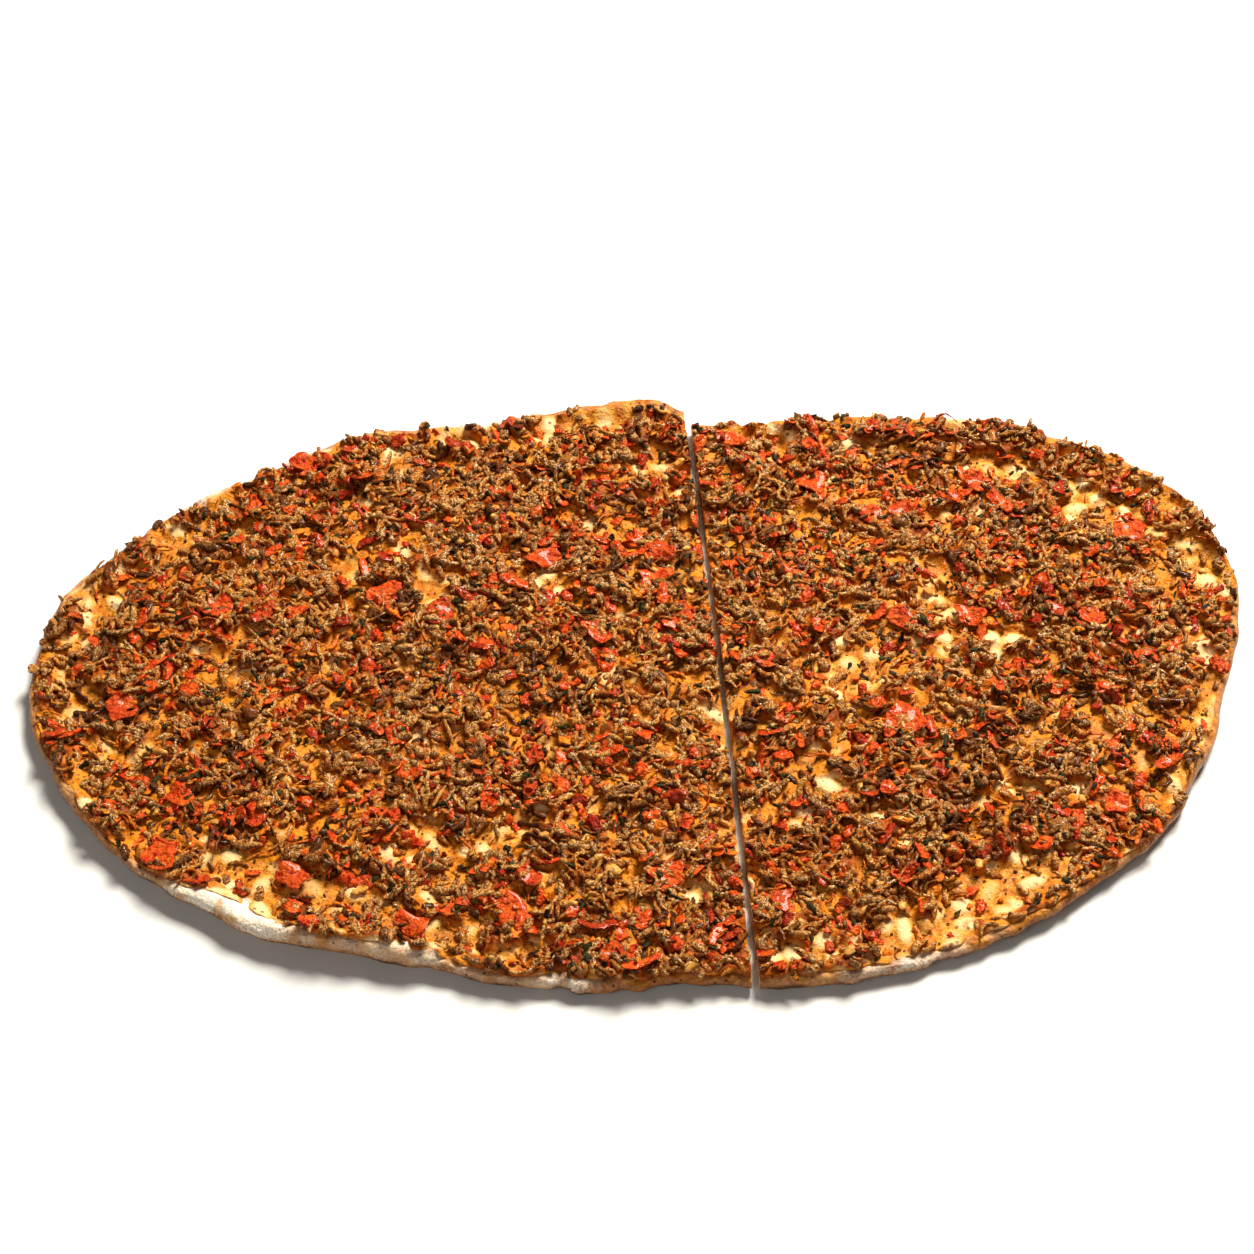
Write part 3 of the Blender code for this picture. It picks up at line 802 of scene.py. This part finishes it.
def crumb_finish(name, light, dark, oily, deep):
    """A crumb's colour: on its upper part, painted highlights in the light colour on ridges and fine
    grains, over a darker skin; below, oil-red and glossy, with no painted highlight. The ridges are a
    sine of the fold number, bent by noise."""
    crumb = Finish(name, 0.42, Coat_Weight=0.22, Coat_Roughness=0.07)
    highlight_grains = crumb.noise(0.85, 4, 0.7, 0.42, 0.58)
    bend = crumb.noise(1.4, 2, 0.5, 0.2, 0.8)
    bent = crumb.sum("MULTIPLY_ADD", bend, 7.0, crumb.trait("fold"), held=False)
    fold = crumb.span(crumb.sum("SINE", bent, held=False), -0.75, 0.95)
    top = crumb.mix(crumb.span(crumb.trait("roast"), 0.2, 1.0, 0.0, 0.75), light, dark)
    # painted highlights: the ridges and fine grains of each crumb's upper part take the light colour
    ridge_highlight = crumb.sum("ADD", crumb.sum("MULTIPLY", fold, 0.7), crumb.sum("MULTIPLY", highlight_grains, 0.5))
    top = crumb.mix(crumb.span(ridge_highlight, 0.32, 0.88), dark, top)
    low = crumb.mix(crumb.noise(1.6, 3), oily, dark)
    # oil and painted shade: the lower part loses the painted highlights and turns oil-red
    colour = crumb.mix(crumb.span(crumb.trait("oil_and_shade"), 0.10, 0.70), top, low)
    colour = crumb.mix(crumb.noise(1.1, 4, 0.7, 0.52, 0.64), colour, deep)
    colour = crumb.mix(crumb.span(crumb.trait("roast"), 0.55, 1.0, 0.0, 0.80), colour, deep)
    roughness = crumb.span(crumb.noise(0.8, 2), 0, 1, 0.30, 0.60)
    bumps = crumb.sum("MULTIPLY", crumb.noise(0.8, 4, 0.7), 0.55)
    relief = crumb.sum("ADD", crumb.sum("MULTIPLY", fold, 0.45), bumps)
    return crumb.finish(colour, roughness, relief, 0.8)


# name, share of the crumbs, length, width, arc, light top for the painted highlights, dark top, oily
# side, deep side
CRUMB_KINDS = (
    (
        "mince_fawn", 0.25, 6.2, 3.3, 1.7,
        (1.00, 0.62, 0.240), (0.62, 0.165, 0.005), (0.66, 0.135, 0.002), (0.08, 0.010, 0.0005),
    ),
    (
        "mince_umber", 0.25, 5.4, 3.1, 1.3,
        (0.94, 0.540, 0.200), (0.34, 0.084, 0.003), (0.46, 0.085, 0.002), (0.04, 0.005, 0.0005),
    ),
    (
        "mince_rust", 0.25, 6.6, 2.8, 2.1,
        (1.00, 0.520, 0.140), (0.62, 0.125, 0.002), (0.72, 0.130, 0.002), (0.09, 0.010, 0.0005),
    ),
    (
        "mince_gold", 0.25, 7.6, 2.1, 2.7,
        (1.00, 0.640, 0.230), (0.78, 0.250, 0.009), (0.84, 0.225, 0.003), (0.10, 0.013, 0.0005),
    ),
)

rng = np.random.default_rng(4)
crumb_x, crumb_y, crumb_left = settle(rng, CRUMB_SPACING)
ground, heap, bare = crumb_height(crumb_x, crumb_y, crumb_left)
stays = rng.uniform(0, 1, len(crumb_x)) < (0.50 + 0.50 * heap) * (1 - 0.86 * bare)
crumb_x, crumb_y, crumb_left, ground, heap = (
    k[stays] for k in (crumb_x, crumb_y, crumb_left, ground, heap)
)
_, crumb_inset = polar(crumb_x, crumb_y, crumb_left)
patchy = 0.5 + 0.30 * drift(crumb_x, crumb_y, 14, 101) + 0.25 * drift(crumb_x, crumb_y, 5, 102)
kind_number = np.clip(patchy + rng.normal(0, 0.28, len(crumb_x)), 0, 0.9999)
order = np.argsort(np.argsort(kind_number)) / len(kind_number)
start = 0.0
for name, portion, length, width, arc, *colours in CRUMB_KINDS:
    mine = (order >= start) & (order < start + portion)
    start += portion
    count = int(mine.sum())
    x, y = crumb_x[mine], crumb_y[mine]
    calm = 0.25 + 0.75 * ease(3, 13, crumb_inset[mine])
    lengths = length * rng.lognormal(0, 0.30, count) * (0.55 + 0.45 * calm)
    widths = width * rng.lognormal(0, 0.20, count)
    thin = rng.uniform(0.34, 1.0, count)
    lengths = lengths * (1.3 - 0.45 * thin)
    flat = 1.45 - 0.95 * thin
    arcs = rng.normal(0, arc, count)
    body = sausages(rng, count, lengths, widths, flat, arcs, CRUMB_LUMPS, thin=thin)
    lift = np.abs(rng.normal(0, 0.70, count)) * (0.4 + 0.6 * heap[mine]) + 0.1
    place = np.stack([x, y, ground[mine] + lift], -1)
    yaw = rng.uniform(0, math.tau, count)
    pitch = calm * rng.normal(0, 0.26, count)
    roll = calm * rng.normal(0, 0.45, count)
    spin = (yaw, pitch, roll)
    high = turned(body, *spin)[..., 2]
    place[:, 2] -= np.maximum(high.max(1) + lift - CRUMB_CEILING, 0)
    high = high + lift[:, None]
    # 1 low on the crumb and 0 at its top: oil below, and the painted highlights kept to the top
    oil_and_shade = ease(1.5, -0.40, high)
    clusters = drift(x, y, 6.5, 103) + 0.5 * drift(x, y, 15, 104)
    roast = np.clip(0.42 + 0.50 * clusters[:, None] + 0.25 * rng.normal(0, 1, (count, 1)), 0, 1)
    heading = rng.uniform(0, math.pi, (count, 1))
    fold = body[..., 0] * np.cos(heading) + body[..., 1] * np.sin(heading)
    fold = fold * math.tau / FOLD_SPACING + rng.uniform(0, math.tau, (count, 1))
    traits = {"roast": roast, "oil_and_shade": oil_and_shade, "fold": fold}
    faces = ring_faces(CRUMB_RINGS, CRUMB_SIDES)
    strewn(name, body, place, spin, faces, traits, crumb_finish(name, *colours))


# ----------------------------------------------------------------------------------------------------
# The red pepper: diced flakes that curled and blistered as they baked. The largest lie on the crust,
# skin up, and the rest are strewn through the mince, with a little orange pepper among the red.

FLAKE_ROWS, FLAKE_COLUMNS = 13, 22
FLAKE_THICKNESS, FLAKE_CURL, FLAKE_SINK = 1.0, 1.5, 0.2
FLAKE_OVER_SPREAD = 2.25
SHAPE_SEED, TILT_SEED, ROAST_SEED = 300, 400, 500
CHIP_LUMPS = 0.16
PEPPER_RED = (0.60, 0.030, 0.003)
PEPPER_DEEP = (0.28, 0.010, 0.002)
PEPPER_ORANGE = (0.80, 0.13, 0.010)
# pale pink-orange of the painted highlights on the pepper
PEPPER_HIGHLIGHT = (0.92, 0.22, 0.06)
ORANGE_SKIN = (0.80, 0.17, 0.008)
ORANGE_FLESH = (0.84, 0.30, 0.020)
ORANGE_DEEP = (0.50, 0.06, 0.004)


def pepper_finish(name, skin, flesh, deep):
    """Wet red skin, lighter and more orange where the flesh shows, with dark blistered spots and pale
    spots of painted highlight.
    """
    pepper = Finish(name, 0.40, Coat_Weight=0.20, Coat_Roughness=0.05)
    colour = pepper.mix(pepper.noise(2.4, 4), skin, flesh)
    colour = pepper.mix(pepper.trait("roast"), colour, deep)
    colour = pepper.mix(pepper.noise(1.8, 3, 0.5, 0.52, 0.72), colour, deep)
    # painted highlight: pale pink-orange spots on the skin
    colour = pepper.mix(pepper.noise(1.3, 3, 0.5, 0.62, 0.72), colour, PEPPER_HIGHLIGHT)
    roughness = pepper.span(pepper.noise(1.2, 3), 0, 1, 0.16, 0.46)
    return pepper.finish(colour, roughness, pepper.noise(1.7, 3, 0.5), 0.6)


def flake(length, width, seed):
    """A closed flake about the origin: two sheets on a grid of angle and share of the reach, joined at
    the rim. The outline is a superellipse times cosines. The sheets bow by squares, and ripple by the
    product of a sine and a cosine."""
    angle = np.linspace(0, math.tau, FLAKE_COLUMNS, endpoint=False)
    own = np.random.default_rng(seed).uniform(-1, 1, 10)
    outline = (np.abs(np.cos(angle)) ** 4 + np.abs(np.sin(angle)) ** 4) ** (-1 / 4)
    threes = 0.16 * own[0] * np.cos(3 * angle + own[1] * 3)
    fives = 0.09 * np.cos(5 * angle + own[2] * 3)
    twos = 0.10 * own[8] * np.cos(2 * angle + own[9] * 3)
    nines = 0.04 * np.cos(9 * angle + own[3] * 3)
    outline = outline * (1 + threes + fives)
    outline = outline * (1 + twos + nines)
    share = np.sin(np.linspace(0, math.pi, FLAKE_ROWS + 2)[1:-1])
    side = np.cos(np.linspace(0, math.pi, FLAKE_ROWS + 2)[1:-1])
    x = (share[:, None] * outline * np.cos(angle)).ravel()
    y = (share[:, None] * outline * np.sin(angle)).ravel()
    z = np.repeat(np.sign(side) * np.abs(side) ** 0.55, FLAKE_COLUMNS) * FLAKE_THICKNESS / 2
    x = np.concatenate([[0], x, [0]])
    y = np.concatenate([[0], y, [0]])
    z = np.concatenate([[FLAKE_THICKNESS / 2], z, [-FLAKE_THICKNESS / 2]])
    y = y * (1 - 0.18 * own[3] * x)
    bow = FLAKE_CURL * (0.75 * x**2 + 0.5 * own[4] * y**2 + 0.35 * own[5] * x * y)
    ripple = 0.38 * np.sin(3.2 * x + 3 * own[6]) * np.cos(2.8 * y + 3 * own[7])
    return np.stack([x * length / 2, y * width / 2, z + bow + ripple], -1)


pepper_red = pepper_finish("pepper_red", PEPPER_RED, PEPPER_ORANGE, PEPPER_DEEP)
flake_faces = ring_faces(FLAKE_ROWS, FLAKE_COLUMNS)
pepper_nodes = sorted(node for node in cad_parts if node.startswith("pepper_"))
for number, node in enumerate(pepper_nodes):
    corners = np.empty(len(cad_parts[node].data.vertices) * 3, np.float32)
    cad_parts[node].data.vertices.foreach_get("co", corners)
    corners = corners.reshape(-1, 3) / MM
    centre = (corners.max(0) + corners.min(0)) / 2
    spread, axes = np.linalg.eigh(np.cov((corners - centre)[:, :2].T))
    width, length = np.sqrt(spread) * FLAKE_OVER_SPREAD
    shape = flake(length, width, SHAPE_SEED + number)
    yaw = np.array([math.atan2(axes[1, 1], axes[0, 1])])
    tilt = np.random.default_rng(TILT_SEED + number).normal(0, 0.10, 2)
    shape = turned(shape[None], yaw, tilt[:1], tilt[1:])[0]
    shape = shape + [centre[0], centre[1], corners[:, 2].min() - FLAKE_SINK]
    roast = np.full(len(shape), np.random.default_rng(ROAST_SEED + number).uniform(0, 0.55))
    make_piece(node + "_skin", shape, flake_faces, {"roast": roast}, pepper_red, [node])


def chips(rng, count, length, width, thick, curl, rings, sides):
    """Small curled chips about the origin (thing, point, axis): flattened sausages whose ends rise by a
    square and whose sides cup by a square."""
    arcs = rng.normal(0, 0.4, count)
    body = sausages(rng, count, length, width, thick / width, arcs, CHIP_LUMPS, rings, sides)
    share = 2 * body[..., 0] / length[:, None]
    cup = 2 * body[..., 1] / width[:, None]
    body[..., 2] += (curl * length)[:, None] * share**2 + (0.12 * width)[:, None] * cup**2
    return body


def strew_chips(
    name, rng, spacing, size, tilt, lift, material, clump=0, on_bare=0.3, keep=1.0, mesh=(4, 6)
):
    """Chips strewn through the crust, with the rings and sides that mesh gives. Each keeps its place by
    a chance that changes on bare dough and follows soft hills. Its size is scattered about the one
    given, and the tilt is the spread of the angles that it lies at."""
    length, width, thick = size
    x, y, left = settle(rng, spacing, inward=0.3 * length)
    ground, _, bare = crumb_height(x, y, left)
    clumps = 1 + clump * drift(x, y, 16, 111) + clump * drift(x, y, 6, 112)
    chance = keep * (1 - (1 - on_bare) * bare) * clumps
    stays = rng.uniform(0, 1, len(x)) < chance
    x, y, ground, bare = (k[stays] for k in (x, y, ground, bare))
    count = len(x)
    lengths = length * rng.lognormal(0, 0.28, count)
    widths = width * rng.lognormal(0, 0.22, count)
    thicks = thick * rng.lognormal(0, 0.2, count)
    body = chips(rng, count, lengths, widths, thicks, rng.normal(0.06, 0.10, count), *mesh)
    rise = lift * (0.35 + 0.65 * (1 - bare))
    rise = rise + 0.35 * rng.uniform(-1, 1, count) * (1 - bare) * min(1, lift)
    place = np.stack([x, y, ground + rise], -1)
    spin = (rng.uniform(0, math.tau, count), rng.normal(0, tilt, count), rng.normal(0, tilt, count))
    roast = rng.uniform(0, 1, (count, 1)) ** 2.2
    strewn(name, body, place, spin, ring_faces(*mesh), {"roast": roast}, material)


rng = np.random.default_rng(9)
pepper_orange = pepper_finish("pepper_orange", ORANGE_SKIN, ORANGE_FLESH, ORANGE_DEEP)
strew_chips(
    "pepper_dice_red", rng, 8.0, (6.4, 3.8, 0.7), 0.32, 1.30, pepper_red,
    clump=0.8, keep=0.6,
)
strew_chips(
    "pepper_bits_red", rng, 4.4, (3.6, 2.1, 0.6), 0.45, 1.00, pepper_red,
    clump=1.2, keep=0.36,
)
strew_chips(
    "pepper_bits_orange", rng, 7.0, (4.2, 2.6, 0.8), 0.45, 1.20, pepper_orange,
    clump=0.4, keep=0.32,
)


# ----------------------------------------------------------------------------------------------------
# What is chopped small through the meat: onion cooked glassy and gold, flat parsley dried nearly black,
# curled shreds of pepper skin, and crushed black pepper that shows most on the bare dough.

ONION_PALE = (0.84, 0.46, 0.11)
ONION_GOLD = (0.74, 0.30, 0.04)
ONION_BROWN = (0.42, 0.13, 0.02)
PARSLEY_GREEN = (0.050, 0.050, 0.010)
PARSLEY_DARK = (0.022, 0.020, 0.005)
PARSLEY_BROWN = (0.022, 0.016, 0.007)
SPECK_DARK = (0.05, 0.022, 0.008)
SPECK_BROWN = (0.12, 0.045, 0.012)
SHRED_SPACING, SHRED_INWARD, SHRED_LIFT = 13.5, 3.0, 1.35
SHRED_RINGS, SHRED_SIDES, SHRED_LUMPS = 10, 4, 0.12

onion = Finish("cooked_onion", 0.28, Coat_Weight=0.3, Coat_Roughness=0.15, Subsurface_Weight=0.25)
onion.shader.inputs["Subsurface Radius"].default_value = (0.004, 0.002, 0.0008)
onion.shader.inputs["Subsurface Scale"].default_value = 0.4
onion_colour = onion.mix(onion.noise(2.0, 3), ONION_PALE, ONION_GOLD)
onion_colour = onion.mix(onion.trait("roast"), onion_colour, ONION_BROWN)
onion.finish(onion_colour, None, onion.noise(1.0, 3), 0.2)
strew_chips(
    "onion_bits", rng, 8.0, (3.8, 2.4, 1.5), 0.50, 0.90, onion.material,
    on_bare=0.9, keep=0.3,
)

parsley = Finish("dried_parsley", 0.5)
leaf = parsley.mix(parsley.noise(1.5, 3), PARSLEY_GREEN, PARSLEY_DARK)
leaf = parsley.mix(parsley.trait("roast"), leaf, PARSLEY_BROWN)
parsley.finish(leaf, None, parsley.noise(0.6, 3), 0.2)
strew_chips(
    "parsley_flecks", rng, 5.6, (3.0, 1.7, 0.32), 0.65, 1.50, parsley.material,
    clump=0.3, keep=0.55, mesh=(3, 4),
)

pepper_dust = Finish("crushed_pepper", 0.6)
specks = pepper_dust.mix(pepper_dust.noise(0.8, 3), SPECK_DARK, SPECK_BROWN)
pepper_dust.finish(specks, None, pepper_dust.noise(0.4, 3), 0.15)
strew_chips(
    "black_specks", rng, 4.2, (0.95, 0.75, 0.5), 0.30, 0.45, pepper_dust.material,
    on_bare=2.2, keep=0.4, mesh=(2, 4),
)

x, y, left = settle(rng, SHRED_SPACING, SHRED_INWARD)
ground, _, bare = crumb_height(x, y, left)
count = len(x)
lengths = 8.0 * rng.lognormal(0, 0.3, count)
widths = 0.85 * rng.lognormal(0, 0.25, count)
arcs = rng.uniform(0.6, 3.4, count)
flat = np.full(count, 0.7)
body = sausages(
    rng, count, lengths, widths, flat, arcs, SHRED_LUMPS, rings=SHRED_RINGS, sides=SHRED_SIDES
)
body[..., 2] += 0.08 * lengths[:, None] * np.sin(body[..., 0] / 1.3 + rng.uniform(0, 6, count)[:, None])
place = np.stack([x, y, ground + SHRED_LIFT - 0.7 * bare], -1)
spin = (rng.uniform(0, math.tau, count), rng.normal(0, 0.14, count), rng.normal(0, 0.25, count))
traits = {"roast": rng.uniform(0, 1, (count, 1))}
faces = ring_faces(SHRED_RINGS, SHRED_SIDES)
strewn("pepper_shreds", body, place, spin, faces, traits, pepper_orange)


# ----------------------------------------------------------------------------------------------------
# The studio, which is no part of the bread: a pale floor, a large soft light behind and above, a weaker
# one in front, a dim warm room around them, and the camera, which looks down from the front. Its places
# and sizes are in metres.

FLOOR_REACH, FLOOR_DROP = 3, 0.0004
FLOOR_GREY = (0.94, 0.94, 0.94)
FLOOR_PALE = (0.97, 0.97, 0.965)
ROOM_COLOUR = (1.0, 0.92, 0.82, 1)
ROOM_STRENGTH = 0.060
CAMERA_PLACE = (-0.0050, -0.4181, 0.5598)
CAMERA_PITCH = 38.0
LENS, SENSOR = 65.25, 36

floor_finish = Finish("pale_floor", 0.55)
floor_finish.finish(floor_finish.mix(floor_finish.noise(40, 2), FLOOR_GREY, FLOOR_PALE))
floor_mesh = bpy.data.meshes.new("floor")
corners = np.array([(-1, -1, 0), (1, -1, 0), (1, 1, 0), (-1, 1, 0)]) * FLOOR_REACH
floor_mesh.from_pydata(corners.tolist(), [], [(0, 1, 2, 3)])
floor_mesh.materials.append(floor_finish.material)
floor = bpy.data.objects.new("floor", floor_mesh)
floor.location.z = -FLOOR_DROP
bpy.context.scene.collection.objects.link(floor)

scene = bpy.context.scene
scene.view_settings.view_transform = "Standard"
world = bpy.data.worlds.new("studio")
scene.world = world
world.use_nodes = True
room = world.node_tree.nodes["Background"]
room.inputs["Color"].default_value = ROOM_COLOUR
room.inputs["Strength"].default_value = ROOM_STRENGTH

# name, place, power, size, colour
LIGHTS = (
    ("back_window", (0.45, 0.80, 1.10), 44.0, 0.55, (1.0, 0.95, 0.85)),
    ("front_card", (-0.7, -0.9, 0.9), 3.2, 0.8, (1.0, 0.95, 0.88)),
)
for name, at, power, size, colour in LIGHTS:
    light = bpy.data.lights.new(name, "AREA")
    light.energy = power
    light.size = size
    light.color = colour
    lamp = bpy.data.objects.new(name, light)
    lamp.location = at
    lamp.rotation_euler = (-Vector(at)).to_track_quat("-Z", "Y").to_euler()
    scene.collection.objects.link(lamp)

camera_data = bpy.data.cameras.new("camera")
camera_data.lens = LENS
camera_data.sensor_width = SENSOR
camera_data.clip_start = 0.01
camera = bpy.data.objects.new("camera", camera_data)
camera.location = CAMERA_PLACE
camera.rotation_euler = (math.radians(CAMERA_PITCH), 0, 0)
scene.collection.objects.link(camera)
scene.camera = camera
